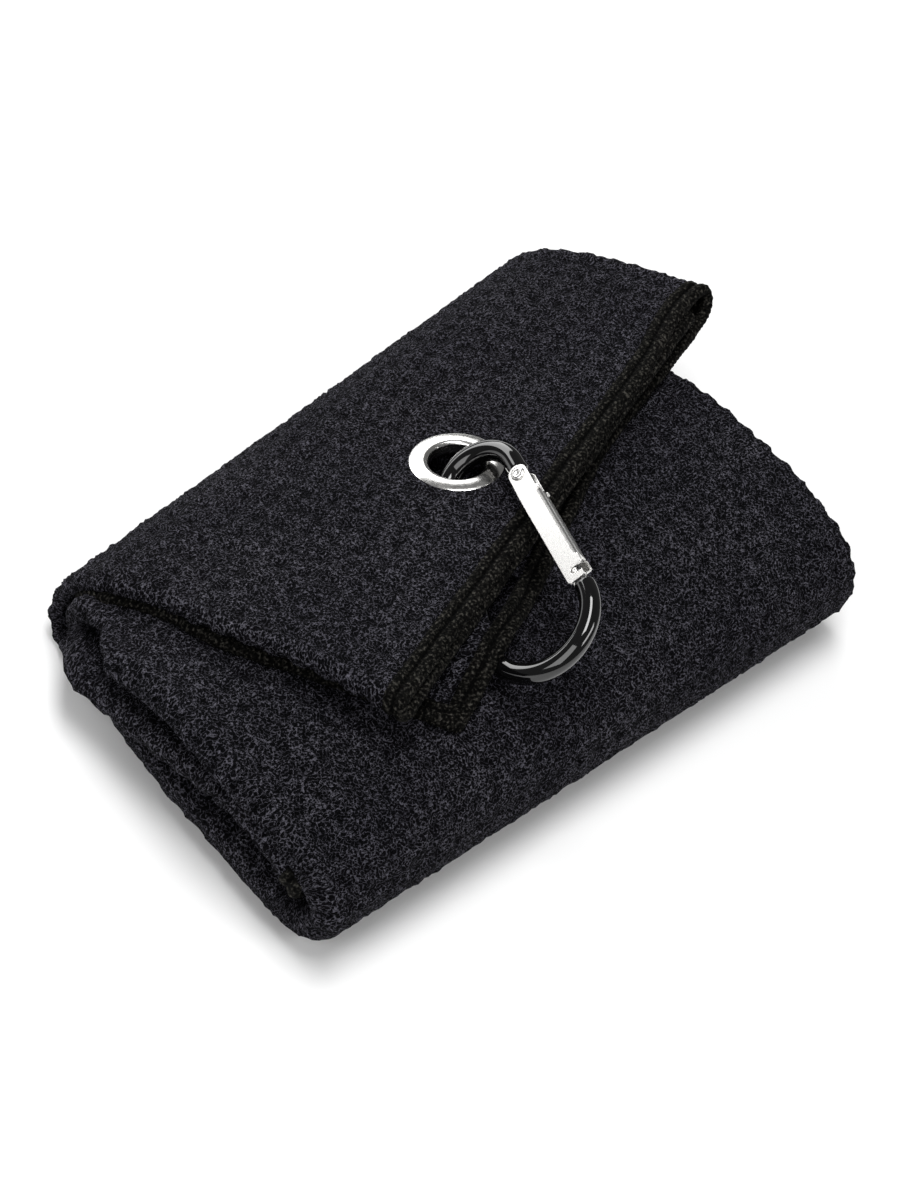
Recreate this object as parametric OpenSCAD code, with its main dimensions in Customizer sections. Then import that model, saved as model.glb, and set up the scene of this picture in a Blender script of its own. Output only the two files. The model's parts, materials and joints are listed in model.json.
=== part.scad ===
// Golf towel: a waffle-weave cloth folded in three into a strip, the strip folded into a
// flat bundle with its free end laid over the top as a flap, an eyelet through the flap,
// and a spring-gate carabiner clipped through the eyelet.
// Origin at the middle of the underside, +X along the front fold, +Y to the back, +Z up.

/* [Bundle] */
// Width of the strip, one third of the towel's length
strip_w = 178; // [176:0.5:180]
// Distance from the front fold to the centre of its curve
front_r = 15.5; // [15:0.1:16]
// Y of the front fold's outermost line
front_y = -50; // [-51:0.5:-49]
// Height of the top panel's crown
crown_z = 34; // [33.5:0.1:34.2]
// Thickness of the three layers of a panel together
panel_t = 5.4; // [5:0.1:5.8]

/* [Flap] */
// Angle between the back fold and the front fold
fold_skew = 7; // [6.5:0.1:7.5]
// Thickness of one layer of cloth
cloth_t = 1.6; // [1.4:0.1:1.6]
// Height of the flap's highest line
flap_z = 46.3; // [46:0.1:46.8]
// Width of the bound edge
hem_w = 5; // [4.5:0.1:5.5]

/* [Eyelet] */
// Radius of the hole
eyelet_r = 6.8; // [6.7:0.05:7]
// Outer radius of the flange
flange_r = 11.2; // [10.8:0.1:11.6]

/* [Carabiner] */
// Diameter of the bent rod
rod_d = 5; // [4.8:0.1:5]
// Radius of the small bow, to the rod's centre line
small_r = 9.67; // [9.57:0.05:9.77]
// Radius of the large bow, to the rod's centre line
large_r = 13.23; // [13.13:0.05:13.33]
// Distance between the centres of the two bows
bow_gap = 41.54; // [41.34:0.1:41.74]

/* [Gate] */
// Width of the gate's channel across its side walls
gate_w = 5.2; // [5.1:0.05:5.3]
// Depth of the channel's side walls
gate_h = 5.4; // [5.2:0.1:5.6]
// Thickness of the gate's sheet
gate_t = 0.6; // [0.5:0.05:0.65]
// Radius of the pivot rivet
rivet_r = 1; // [0.9:0.05:1.1]

/* [Hidden] */
$fn = 96;

eps = 0.01;
half_w = strip_w / 2;
cloth_color = [0.13, 0.13, 0.17];
hem_color = [0.1, 0.095, 0.09];

// ---- bundle outline, as (y, z) curves ----
front_c = front_y + front_r;           // Y of the front fold's centre
crown_y = -7;                          // Y of the top panel's highest line
front_drop = (crown_z - 2 * front_r) / pow(front_c - crown_y, 2);
back_drop = 0.004;                     // how fast the crown falls towards the back
top_back_y = 31;                       // Y where the top panel turns under
curve_steps = 24;

function crown(y) = crown_z - (y < crown_y ? front_drop : back_drop) * pow(y - crown_y, 2);
function span(a, b, n) = [for (i = [0:n]) a + (b - a) * i / n];
function arc(c, r, a0, a1, n) = [for (a = span(a0, a1, n)) [c[0] + r * cos(a), c[1] + r * sin(a)]];
function reverse(v) = [for (i = [len(v) - 1:-1:0]) v[i]];

// A (y, z) outline swept along X
module along_x(x0, x1) {
  translate([x0, 0, 0]) rotate([90, 0, 90]) linear_extrude(x1 - x0) children();
}

module top_panel() {
  ys = span(front_c, top_back_y, curve_steps);
  upper = [for (y = ys) [y, crown(y)]];
  lower = [for (y = reverse(ys)) [y, crown(y) - panel_t]];
  color(cloth_color) along_x(-half_w, half_w) polygon(concat(upper, lower));
}

module front_fold() {
  c = [front_c, front_r];
  color(cloth_color) along_x(-half_w, half_w)
    polygon(concat(arc(c, front_r, 90, 270, 32), reverse(arc(c, front_r - panel_t, 90, 270, 32))));
}

// The strip's second end, rolled inside: it turns under at the back and runs forward again
inner_drop_z = 8;                      // height lost from the top panel to the inner panel
inner_front_y = -30;                   // Y where the inner panel ends
inner_back_z = crown(top_back_y) - panel_t / 2 - inner_drop_z / 2;

module inner_fold() {
  c = [top_back_y, inner_back_z];
  r_out = (panel_t + inner_drop_z) / 2;
  r_in = r_out - panel_t;
  color(cloth_color) along_x(-half_w, half_w)
    polygon(concat(arc(c, r_out, -90, 90, 20), reverse(arc(c, r_in, -90, 90, 20))));
}

function inner_top(y) = crown(top_back_y) - inner_drop_z + 1.6 * sin(180 * (top_back_y - y) / 80);

module inner_slab(y0, y1, grow) {
  ys = span(y0, y1, 16);
  upper = [for (y = ys) [y, inner_top(y) + grow]];
  lower = [for (y = reverse(ys)) [y, inner_top(y) - panel_t - grow]];
  along_x(-half_w, half_w) polygon(concat(upper, lower));
}

module inner_panel() {
  color(cloth_color) inner_slab(inner_front_y + hem_w, top_back_y, 0);
}

module inner_end_hem() {
  color(hem_color) inner_slab(inner_front_y, inner_front_y + hem_w, 0.4);
}

// ---- flap and back fold, in a frame turned by the fold's skew: (h, v) in place of (x, y) ----
flap_flat_v = -22;                     // v where the flap is level
flap_drop = 0.00288;                   // how fast the flap falls towards the back fold
hinge_v = 50;                          // v where the flap meets the back fold
hinge_gap = 0.3;
back_v = 65.2;                         // v of the back fold's outermost line
hinge_slope = atan(2 * flap_drop * (hinge_v - flap_flat_v));
hinge_z = flap_z - flap_drop * pow(hinge_v - flap_flat_v, 2);
back_r = (back_v - hinge_v) / (1 - sin(hinge_slope));
back_z = hinge_z - back_r * cos(hinge_slope);
back_low_v = back_v - back_z;          // v where the back fold meets the ground
back_t = 5.2;                          // thickness of the back fold's layers together
back_left_h = -76;                     // ends of the back fold
back_right_h = 100;

flap_front_v = -34;                    // forward of the flap's furthest corner

function flap_end_v(d) = hinge_v - hinge_gap - d * sin(hinge_slope) * cos(hinge_slope);
function flap_top(v) = flap_z - flap_drop * pow(max(v, flap_flat_v) - flap_flat_v, 2);

module fold_frame() {
  rotate([0, 0, fold_skew]) children();
}

module back_fold() {
  upper_c = [back_v - back_r, back_z];
  lower_c = [back_v - back_z, back_z];
  skin = concat(arc(lower_c, back_z, 270, 360, 20), arc(upper_c, back_r, 2, 90 - hinge_slope, 20));
  lining = concat(arc(lower_c, back_z - back_t, 270, 360, 20),
                  arc(upper_c, back_r - back_t, 2, 90 - hinge_slope, 20));
  color(cloth_color) fold_frame() along_x(back_left_h, back_right_h) polygon(concat(skin, reverse(lining)));
}

function from_fold(h, v) = [
  h * cos(fold_skew) - v * sin(fold_skew), h * sin(fold_skew) + v * cos(fold_skew)
];

// The panel that lies on the ground, from the front fold to the skewed back fold
module bottom_panel() {
  color(cloth_color) linear_extrude(panel_t)
    polygon([[-half_w, front_c], [half_w, front_c],
             from_fold(back_right_h, back_low_v), from_fold(back_left_h, back_low_v)]);
}

// A slab that follows the flap's curve, between two depths below its top. It ends square to
// the curve, a small gap short of the back fold.
module flap_slab(d0, d1) {
  upper = [for (v = span(flap_front_v, flap_end_v(d0), 30)) [v, flap_top(v) - d0]];
  lower = [for (v = span(flap_end_v(d1), flap_front_v, 30)) [v, flap_top(v) - d1]];
  along_x(-95, 130) polygon(concat(upper, lower));
}

// Part of such a slab, inside a plan outline
module flap_piece(d0, d1, plan) {
  fold_frame() intersection() {
    flap_slab(d0, d1);
    linear_extrude(60) polygon(plan);
  }
}

// Plan corners of the layers: front left, front right, back right, back left
outer_plan = [[-59.5, -20.5], [111.5, 15.5], [100.2, 51], [-74.9, 51]];
lower_plan = [[-42.5, -28], [109.5, 10.5], [100.2, 51], [-76.5, 51]];

function toward(p, q, d) = p + (q - p) * d / norm(q - p);
// The outline with its front edge moved in by a, its left edge by b and its right edge by c
function inset(p, a, b, c) = [
  toward(toward(p[0], p[3], a), toward(p[1], p[2], a), b),
  toward(toward(p[1], p[2], a), toward(p[0], p[3], a), c),
  toward(p[2], p[3], c),
  toward(p[3], p[2], b)
];
function front_strip(p, w) = [p[0], p[1], toward(p[1], p[2], w), toward(p[0], p[3], w)];
function left_strip(p, a, w) = [
  toward(p[0], p[3], a), toward(toward(p[0], p[3], a), toward(p[1], p[2], a), w),
  toward(p[3], p[2], w), p[3]
];
function right_strip(p, a, w) = [
  toward(toward(p[1], p[2], a), toward(p[0], p[3], a), w), toward(p[1], p[2], a),
  p[2], toward(p[2], p[3], w)
];

fold_w = 1.8;                          // width of the rounded turn at a layer's side
outer_d = [0, cloth_t];
middle_d = [cloth_t + 0.6, 2 * cloth_t + 0.6];
lower_d = [2 * cloth_t + 1.2, 3 * cloth_t + 1.2];
hem_grow = 0.25;                       // how far the hem stands proud of the cloth
middle_out = 1.6;                      // how far the middle layer shows past the outer one

function shift_front(p, d) = [toward(p[0], p[3], -d), toward(p[1], p[2], -d), p[2], p[3]];
middle_plan = inset(shift_front(outer_plan, middle_out), 0, fold_w, 12);

module flap_outer_layer() {
  color(cloth_color) difference() {
    flap_piece(outer_d[0], outer_d[1], inset(outer_plan, hem_w, fold_w, fold_w));
    eyelet_hole(eyelet_r + barrel_t);
    clip_room();
  }
}

module flap_middle_layer() {
  color(cloth_color) difference() {
    flap_piece(middle_d[0], middle_d[1], inset(middle_plan, hem_w, 0, 0));
    eyelet_hole(flange_r + 0.4);
    clip_room();
  }
}

module flap_lower_layer() {
  color(cloth_color) difference() {
    flap_piece(lower_d[0], lower_d[1], inset(lower_plan, hem_w, hem_w, fold_w));
    eyelet_hole(flange_r + 0.4);
    clip_room();
  }
}

module flap_left_fold() {
  color(cloth_color) flap_piece(outer_d[0], middle_d[1], left_strip(outer_plan, hem_w, fold_w));
}

module flap_right_loop() {
  color(cloth_color) flap_piece(outer_d[0], lower_d[1], right_strip(outer_plan, hem_w, fold_w));
}

module outer_end_hem() {
  color(hem_color)
    flap_piece(outer_d[0] - hem_grow, outer_d[1] + hem_grow, front_strip(outer_plan, hem_w));
}

module middle_end_hem() {
  color(hem_color) difference() {
    flap_piece(middle_d[0], middle_d[1], front_strip(middle_plan, hem_w));
    clip_room();
  }
}

module lower_end_hem() {
  color(hem_color) difference() {
    flap_piece(lower_d[0], lower_d[1] + hem_grow, front_strip(lower_plan, hem_w));
    clip_room();
  }
}

module lower_side_hem() {
  color(hem_color)
    flap_piece(lower_d[0], lower_d[1] + hem_grow, left_strip(lower_plan, hem_w, hem_w));
}

// ---- eyelet ----
eyelet_at = [10.3, 20.2, 40.8];        // middle of the eyelet's height, on its axis
eyelet_tilt = 15.5;                    // lean of its axis towards the back
barrel_t = 0.5;                        // wall of the barrel
flange_low = 0.75;
flange_t = 0.9;
washer_t = 0.5;
washer_top = -1.1;

module at_eyelet() {
  translate(eyelet_at) rotate([0, 0, fold_skew]) rotate([-eyelet_tilt, 0, 0]) children();
}

module eyelet_hole(r) {
  at_eyelet() translate([0, 0, -12]) cylinder(r = r, h = 24);
}

// Barrel with a domed flange on top, rolled over at the bottom
module eyelet() {
  barrel_low = washer_top - washer_t;
  color("gainsboro") at_eyelet() rotate_extrude() polygon(concat(
    [[eyelet_r, barrel_low], [eyelet_r + barrel_t, barrel_low], [eyelet_r + barrel_t, flange_low],
     [flange_r, flange_low]],
    [for (i = [0:8]) [flange_r - (flange_r - eyelet_r) * i / 8, flange_low + 0.25
                      + (flange_t - 0.25) * sin(180 * (i + 1) / 10)]]));
}

module eyelet_washer() {
  color("gainsboro") at_eyelet() translate([0, 0, washer_top - washer_t]) difference() {
    cylinder(r = flange_r - 0.5, h = washer_t);
    translate([0, 0, -1]) cylinder(r = eyelet_r + barrel_t, h = washer_t + 2);
  }
}

// ---- carabiner, in its own plane: X along it from small bow to large, Y to the gate ----
clip_at = [7.88, 10.62, 43.51];           // centre of the small bow
clip_turn = [46.14, -3.92, -116.99];
rod_r = rod_d / 2;
side_lean = asin((large_r - small_r) / bow_gap);
gate_len = bow_gap * cos(side_lean);   // from bow to bow along the gate's side
pivot_s = 5.8;                         // pivot's place along the gate's side
latch_s = gate_len - 3;                // latch pin's place
tongue_w = gate_w - 2 * gate_t - 0.3;  // rod's ends are flattened to fit in the channel
tongue_h = 3;
tongue_end = 1.5;                      // how far a tongue runs past its pin
root = 1;                              // how far a tongue runs into the round rod
spine_lap = 0.4;                       // how far the straight side runs into the bows

module at_clip() {
  translate(clip_at) rotate(clip_turn) children();
}

// Frame on the gate's side: X along the gate from the small bow, Y outwards
module gate_frame() {
  at_clip() rotate([0, 0, side_lean]) translate([0, small_r, 0]) children();
}

module bow(r, a0, a1) {
  rotate([0, 0, a0]) rotate_extrude(angle = a1 - a0) translate([r, 0]) circle(r = rod_r, $fn = 32);
}

module carabiner_rod() {
  color([0.03, 0.03, 0.035]) difference() {
    union() {
      at_clip() {
        bow(small_r, 90 + side_lean, 270 - side_lean);
        translate([bow_gap, 0, 0]) bow(large_r, -90 - side_lean, 90 + side_lean);
        rotate([0, 0, -side_lean]) translate([-spine_lap, -small_r, 0]) rotate([0, 90, 0])
          cylinder(r = rod_r + 0.02, h = gate_len + 2 * spine_lap, $fn = 32);
      }
      gate_frame() {
        translate([-root, -tongue_h / 2, -tongue_w / 2])
          cube([root + pivot_s + tongue_end, tongue_h, tongue_w]);
        translate([latch_s - tongue_end, -tongue_h / 2, -tongue_w / 2])
          cube([gate_len - latch_s + tongue_end + root, tongue_h, tongue_w]);
      }
    }
    gate_frame() translate([pivot_s, 0, -gate_w]) cylinder(r = rivet_r, h = 2 * gate_w, $fn = 32);
    gate_frame() translate([latch_s, 0, -gate_w]) cylinder(r = latch_r, h = 2 * gate_w, $fn = 32);
  }
}

latch_r = 0.7;
gate_end = 0.5;                        // gap between the channel's end and the large bow
web_start = pivot_s + 7;               // the channel's web is cut away at both ends
web_end = latch_s - 4;

// Folded sheet channel: two side walls and the web outside them
module gate_channel() {
  wall_len = gate_len - gate_end - pivot_s;
  color("silver") gate_frame() difference() {
    union() {
      for (side = [-1, 1]) translate([0, 0, side * (gate_w - gate_t) / 2]) {
        translate([pivot_s, -gate_h / 2, -gate_t / 2]) cube([wall_len, gate_h, gate_t]);
        translate([pivot_s, 0, -gate_t / 2]) cylinder(r = gate_h / 2, h = gate_t, $fn = 48);
      }
      translate([web_start, gate_h / 2 - gate_t, -gate_w / 2 + eps])
        cube([web_end - web_start, gate_t, gate_w - 2 * eps]);
    }
    translate([pivot_s, 0, -gate_w]) cylinder(r = rivet_r + 0.05, h = 2 * gate_w, $fn = 32);
    // slot that hooks on the latch pin, open on the outside
    translate([latch_s, 0, -gate_w]) cylinder(r = latch_r + 0.15, h = 2 * gate_w, $fn = 32);
    translate([latch_s - latch_r - 0.15, 0, -gate_w]) cube([2 * latch_r + 0.3, gate_h, 2 * gate_w]);
  }
}

module pivot_rivet() {
  head_r = 1.7;
  head_t = 0.35;
  color("silver") gate_frame() translate([pivot_s, 0, 0]) {
    translate([0, 0, -gate_w / 2]) cylinder(r = rivet_r, h = gate_w, $fn = 32);
    for (side = [0, 1]) mirror([0, 0, side]) translate([0, 0, gate_w / 2 + 0.03])
      cylinder(r = head_r, h = head_t, $fn = 32);
    for (side = [0, 1]) mirror([0, 0, side]) translate([0, 0, gate_w / 2 - 0.2])
      cylinder(r = rivet_r, h = 0.3, $fn = 32);
  }
}

module latch_pin() {
  color("silver") gate_frame() translate([latch_s, 0, -gate_w / 2])
    cylinder(r = latch_r, h = gate_w, $fn = 32);
}

// Bent wire in the channel: it bears on the rod's end and pushes the gate outwards
module gate_spring() {
  wire_r = 0.45;
  start = [pivot_s + 2.2, 0.6];
  bend = [pivot_s + 9, -0.6];
  tip = [pivot_s + 18, 1.4];
  overlap = toward(bend, start, -wire_r / 2);
  color("silver") gate_frame() {
    wire(start, overlap, wire_r);
    wire(bend, tip, wire_r);
  }
}

module wire(p, q, r) {
  translate([p[0], p[1], 0]) rotate([0, 0, atan2(q[1] - p[1], q[0] - p[0])]) rotate([0, 90, 0])
    cylinder(r = r, h = norm(q - p), $fn = 24);
}

// Room in the flap for the rod where it comes up through the eyelet and swings beside it
swing = 15;                            // how far the carabiner swings in the eyelet
clip_space = 0.9;                      // room between the rod and the cloth
module clip_room() {
  for (a = [0:5:swing]) at_eyelet() rotate([0, 0, a]) rotate([eyelet_tilt, 0, 0])
    rotate([0, 0, -fold_skew]) translate(-eyelet_at) at_clip() {
      rotate([0, 0, -side_lean]) translate([-6, -small_r, 0]) rotate([0, 90, 0])
        cylinder(r = rod_r + clip_space, h = gate_len + 10, $fn = 24);
    }
}

top_panel();
front_fold();
bottom_panel();
inner_fold();
inner_panel();
inner_end_hem();
back_fold();
flap_outer_layer();
flap_middle_layer();
flap_lower_layer();
flap_left_fold();
flap_right_loop();
outer_end_hem();
middle_end_hem();
lower_end_hem();
lower_side_hem();
eyelet();
eyelet_washer();
carabiner_rod();
gate_channel();
pivot_rivet();
latch_pin();
gate_spring();
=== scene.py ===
import json
import math

import bmesh
import bpy
import numpy as np
from mathutils import Euler, Matrix, Vector


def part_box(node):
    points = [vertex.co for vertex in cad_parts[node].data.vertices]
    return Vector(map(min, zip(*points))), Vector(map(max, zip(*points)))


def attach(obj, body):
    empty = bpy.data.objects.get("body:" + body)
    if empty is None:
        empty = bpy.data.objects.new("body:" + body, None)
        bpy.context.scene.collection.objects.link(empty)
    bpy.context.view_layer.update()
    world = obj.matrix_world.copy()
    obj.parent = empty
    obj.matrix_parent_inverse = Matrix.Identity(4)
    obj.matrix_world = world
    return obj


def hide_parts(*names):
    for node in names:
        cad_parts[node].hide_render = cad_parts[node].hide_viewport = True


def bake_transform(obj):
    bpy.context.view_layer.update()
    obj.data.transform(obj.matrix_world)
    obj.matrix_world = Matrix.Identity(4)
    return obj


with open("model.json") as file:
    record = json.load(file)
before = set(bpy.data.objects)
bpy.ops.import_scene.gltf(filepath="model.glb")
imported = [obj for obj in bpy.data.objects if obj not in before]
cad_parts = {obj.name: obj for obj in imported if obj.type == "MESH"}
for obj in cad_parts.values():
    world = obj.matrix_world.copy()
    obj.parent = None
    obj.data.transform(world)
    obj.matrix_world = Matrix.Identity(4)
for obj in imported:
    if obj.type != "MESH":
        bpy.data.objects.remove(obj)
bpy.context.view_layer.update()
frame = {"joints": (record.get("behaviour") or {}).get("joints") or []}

# Lengths are in millimetres until a mesh is made. The towel is folded in three lengthways into
# a strip, and the strip is rolled flat. t runs along the strip: from the flap's end (t = 0) over
# the back fold, along the ground, round the front fold, over the top panel and inside. a runs
# across the strip, from left to right. Layer 1 is the outer one, 2 the middle one and 3 the one
# that lies inside. In the back fold and flap, h runs along the fold, v away from the front and
# w up the outline.
MM = 0.001
rng = np.random.default_rng(7)


def node_box(name):
    low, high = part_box(name)
    return np.array(low) / MM, np.array(high) / MM


def joint(name):
    return next(j for j in frame["joints"] if j["name"] == name)


# ---- sizes from the frame ----
TOP_HIGH = node_box("top_panel")[1]
FRONT_LOW, FRONT_HIGH = node_box("front_fold")
INNER_LOW, INNER_HIGH = node_box("inner_fold")
HALF_W = TOP_HIGH[0]
CROWN_Z = TOP_HIGH[2]
TOP_BACK_Y = TOP_HIGH[1] + 10          # the cloth reaches farther back than the plain solid
FRONT_R = FRONT_HIGH[2] / 2
FRONT_C = FRONT_LOW[1] + FRONT_R
INNER_R = (INNER_HIGH[2] - INNER_LOW[2]) / 2
INNER_FRONT_Y = node_box("inner_end_hem")[0][1] - 9
SKEW = math.atan2(-joint("flap_lift")["axis"][1], -joint("flap_lift")["axis"][0])
EYELET = np.array(joint("clip_swing")["pos_m"]) / MM
EYELET_AXIS = np.array(joint("clip_swing")["axis"])

# ---- sizes that repeat those of the CAD model ----
CROWN_Y = -7.0
BACK_DROP = 0.004
FLAP_Z = 46.3
FLAP_FLAT_V = -22.0
FLAP_DROP = 0.00288
HINGE_V = 50.0
BACK_V = 65.2
CLIP_AT = Vector((7.88, 10.62, 43.51))
CLIP_TURN = Euler([math.radians(x) for x in (46.14, -3.92, -116.99)], "XYZ")
ROD_R = 2.5
SMALL_R = 9.67
LARGE_R = 13.23
BOW_GAP = 41.54
SWINGS = (0, 5, 10, 15)                # how far the clip turns in the eyelet, degrees
EYELET_R = 6.8
BARREL_T = 0.5
FLANGE_R = 11.2
GATE_W = 5.2
GATE_H = 5.4
GATE_T = 0.6
PIVOT_S = 5.8                          # the pivot's place along the gate
TONGUE_W = 3.7
TONGUE_H = 3.0

# ---- cloth ----
PITCH = 6.55                           # waffle cell
CLOTH_T = 1.6
RELIEF = 0.36                          # height of the waffle's ridges, and depth of its pits
LOOP = 0.17                            # unevenness of the terry loops
HEM_W = 5.0
DEPTH = {1: 0.9, 2: 2.7, 3: 4.5}       # depth of each layer's middle in a panel
FLAP_DEPTH = {1: 0.9, 2: 3.0, 3: 5.2}
END_SLANT = math.radians(11.95)        # the strip's end against the back fold
END_LEFT_H = -59.5
END_LEFT_V = -20.5
END_W = 174.8
T_SPLIT = 104.0                        # where the flap's piece ends and the bundle's starts
T_FRONT = 191.0                        # t where the front fold starts
T_INNER = T_FRONT + 118                # t where the strip turns inside
JOIN = (108.0, 184.0)                  # t over which the skewed ground panel straightens
GROUND_RUN = 140.0                     # straight run of both outlines along the ground
GROUND_Z = 0.05                        # the cloth keeps this far above the floor
FINE = PITCH / 6                       # step of the grid where the cloth shows
FREE_2 = HALF_W - 12                   # the middle layer's free side
EYELET_HOLES = {1: 8.6, 2: 11.5, 3: 12.0}   # radius of the hole in each layer
ROD_ROOM = 1.3                         # room beside the rod in the lower layers
FAR = 50                               # distance to a free side, where none is near
STITCH = 1.5                           # pitch of the overlock stitches
STITCH_SLANT = 0.55
HEM_GROOVE = 2.5                       # the groove's distance from the edge

# ---- how the layers lie ----
INNER_RISE = 8.4                       # the inner panel's outer face climbs this much
INNER_TIP = 3.5                        # its end hangs back down this much
GIVE_RUN = 45                          # before the hinge the strip shifts over this length,
GIVE_LEFT, GIVE_RIGHT = 8, 2.5         # by this much at its two sides
LIE = 1.45                             # the lowest layer's middle, above the top panel
ROD_LIE = 1.35                         # and above the rod
ROD_HUMP = 15                          # the hump over the rod falls off in this width
RIGHT_LIFT = 3.0                       # the right loop holds the lowest layer up
OUTER_BACK = 2.2                       # the outer layer's end is drawn back near its right end
MIDDLE_OUT = 1.9                       # the middle layer's end shows at the left
LOWER_IN = 17                          # the lowest layer's left side slides in
LOWER_SAG = 4.5                        # and bows out half-way
LOWER_OUT_LEFT, LOWER_OUT_RIGHT = 8, 2     # the lowest layer's end shows at both sides
LOWER_BACK = 4.6                       # and less in between
SIDE_PUFF = {1: -0.2, 2: 1.1, 3: 1.3}  # the layers part at the left fold
EYELET_SINK = 0.17                     # the outer layer's middle, below the eyelet's middle
EYELET_FLAT_H = 6                      # how near the eyelet's middle a point has to be


def smooth(x):
    x = np.clip(x, 0, 1)
    return x * x * (3 - 2 * x)


def unit(v):
    return v / np.maximum(np.linalg.norm(v, axis=-1, keepdims=True), 1e-9)


class Profile:
    """A smooth outline, read by its length along it, with its outward normal."""

    def __init__(self, points, start, side):
        p = np.array(points, float)
        steps = np.linalg.norm(np.diff(p, axis=0), axis=1)
        p = p[np.concatenate([[True], steps > 1e-6])]
        s = np.concatenate([[0], np.cumsum(np.linalg.norm(np.diff(p, axis=0), axis=1))])
        tangent = unit(np.gradient(p, s, axis=0))
        self.s = s + start
        self.p = p
        self.n = side * np.stack([tangent[:, 1], -tangent[:, 0]], 1)

    def at(self, s):
        read = lambda column: np.interp(s, self.s, column)
        p = np.stack([read(self.p[:, 0]), read(self.p[:, 1])], -1)
        n = np.stack([read(self.n[:, 0]), read(self.n[:, 1])], -1)
        return p, unit(n)


def arc(cx, cy, r, a0, a1, n=40):
    angles = np.radians(np.linspace(a0, a1, n))
    return [(cx + r * math.cos(x), cy + r * math.sin(x)) for x in angles]


def crown(y):
    """Height of the top panel."""
    front_drop = (CROWN_Z - 2 * FRONT_R) / (FRONT_C - CROWN_Y) ** 2
    return CROWN_Z - np.where(y < CROWN_Y, front_drop, BACK_DROP) * (y - CROWN_Y) ** 2


def flap_top(v):
    """Height of the flap's outer surface."""
    return FLAP_Z - FLAP_DROP * (np.maximum(v, FLAP_FLAT_V) - FLAP_FLAT_V) ** 2


def roll_profile():
    """The bundle's outline as (y, z), from the ground behind to the inner panel's end."""
    top_y = np.linspace(FRONT_C, TOP_BACK_Y, 60)
    inner_z = crown(TOP_BACK_Y) - INNER_R
    inner_y = np.linspace(TOP_BACK_Y, INNER_FRONT_Y, 40)
    inner_low = (crown(TOP_BACK_Y) - 2 * INNER_R
                 + INNER_RISE * smooth((TOP_BACK_Y - inner_y) / 60)
                 - INNER_TIP * smooth((-22 - inner_y) / 20))
    points = [(FRONT_C + x, 0.0) for x in np.linspace(GROUND_RUN, 0, 70)]
    points += arc(FRONT_C, FRONT_R, FRONT_R, 270, 90)
    points += list(zip(top_y, crown(top_y)))
    points += arc(TOP_BACK_Y, inner_z, INNER_R, 90, -90)
    points += list(zip(inner_y, inner_low))
    return Profile(points, -GROUND_RUN, -1)


def fold_profile():
    """The outline of back fold and flap as (v, z), from the ground to the flap's front."""
    slope = math.atan(2 * FLAP_DROP * (HINGE_V - FLAP_FLAT_V))
    upper_r = (BACK_V - HINGE_V) / (1 - math.sin(slope))
    lower_r = flap_top(HINGE_V) - upper_r * math.cos(slope)
    low_v = BACK_V - lower_r
    flap_v = np.linspace(HINGE_V, -45, 120)
    points = [(v, 0.0) for v in np.linspace(low_v - GROUND_RUN, low_v, 60)]
    points += arc(low_v, lower_r, lower_r, -90, 0)
    points += arc(BACK_V - upper_r, lower_r, upper_r, 0, 90 - math.degrees(slope))
    points += list(zip(flap_v, flap_top(flap_v)))
    return Profile(points, low_v - GROUND_RUN, 1)


ROLL = roll_profile()
FOLD = fold_profile()
W_HINGE = float(np.interp(-HINGE_V, -FOLD.p[FOLD.s > 80][:, 0], FOLD.s[FOLD.s > 80]))
W_END_LEFT = float(np.interp(-END_LEFT_V, -FOLD.p[FOLD.s > 80][:, 0], FOLD.s[FOLD.s > 80]))
T_END = T_FRONT + ROLL.s[-1]


def across(a):
    """0 at the strip's left side, 1 at its right."""
    return (a + HALF_W) / (2 * HALF_W)


def fold_place(a, t):
    """(h, w) of a point of the strip: along the back fold, and up its outline."""
    along = across(a) * END_W
    h = END_LEFT_H + along * math.cos(END_SLANT) - t * math.sin(END_SLANT)
    w = W_END_LEFT - along * math.sin(END_SLANT) - t * math.cos(END_SLANT)
    give = smooth((W_HINGE + 3 - w) / GIVE_RUN)
    return h + give * (GIVE_LEFT * (1 - across(a)) + GIVE_RIGHT * across(a)), w


def turned(h, v):
    """(x, y) of a place along and across the back fold."""
    return h * math.cos(SKEW) - v * math.sin(SKEW), h * math.sin(SKEW) + v * math.cos(SKEW)


def on_fold(h, w, depth):
    p, n = FOLD.at(w)
    v, z = p[..., 0] - depth * n[..., 0], p[..., 1] - depth * n[..., 1]
    x, y = turned(h, v)
    return np.stack([x, y, z], -1)


def on_roll(a, t, depth):
    p, n = ROLL.at(t - T_FRONT)
    return np.stack([a + 0 * t, p[..., 0] - depth * n[..., 0], p[..., 1] - depth * n[..., 1]], -1)


CLIP = CLIP_TURN.to_matrix()
E1, E2, E3 = (np.array(CLIP.col[i]) for i in range(3))
SIDE_LEAN = math.asin((LARGE_R - SMALL_R) / BOW_GAP)
SPINE_A = np.array(CLIP_AT) - SMALL_R * (math.cos(SIDE_LEAN) * E2 + math.sin(SIDE_LEAN) * E1)
SPINE_B = (np.array(CLIP_AT) + BOW_GAP * E1
           - LARGE_R * (math.cos(SIDE_LEAN) * E2 + math.sin(SIDE_LEAN) * E1))


def spine_distance(x, y):
    """Plan distance to the clip's straight side, the height of its top there, and the share
    of the way along it."""
    run = (SPINE_B - SPINE_A)[:2]
    share = ((x - SPINE_A[0]) * run[0] + (y - SPINE_A[1]) * run[1]) / (run @ run)
    s = np.clip(share, 0, 1)
    dx, dy = x - (SPINE_A[0] + s * run[0]), y - (SPINE_A[1] + s * run[1])
    top = SPINE_A[2] + s * (SPINE_B[2] - SPINE_A[2]) + ROD_R
    return np.hypot(dx, dy), top, share


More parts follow.
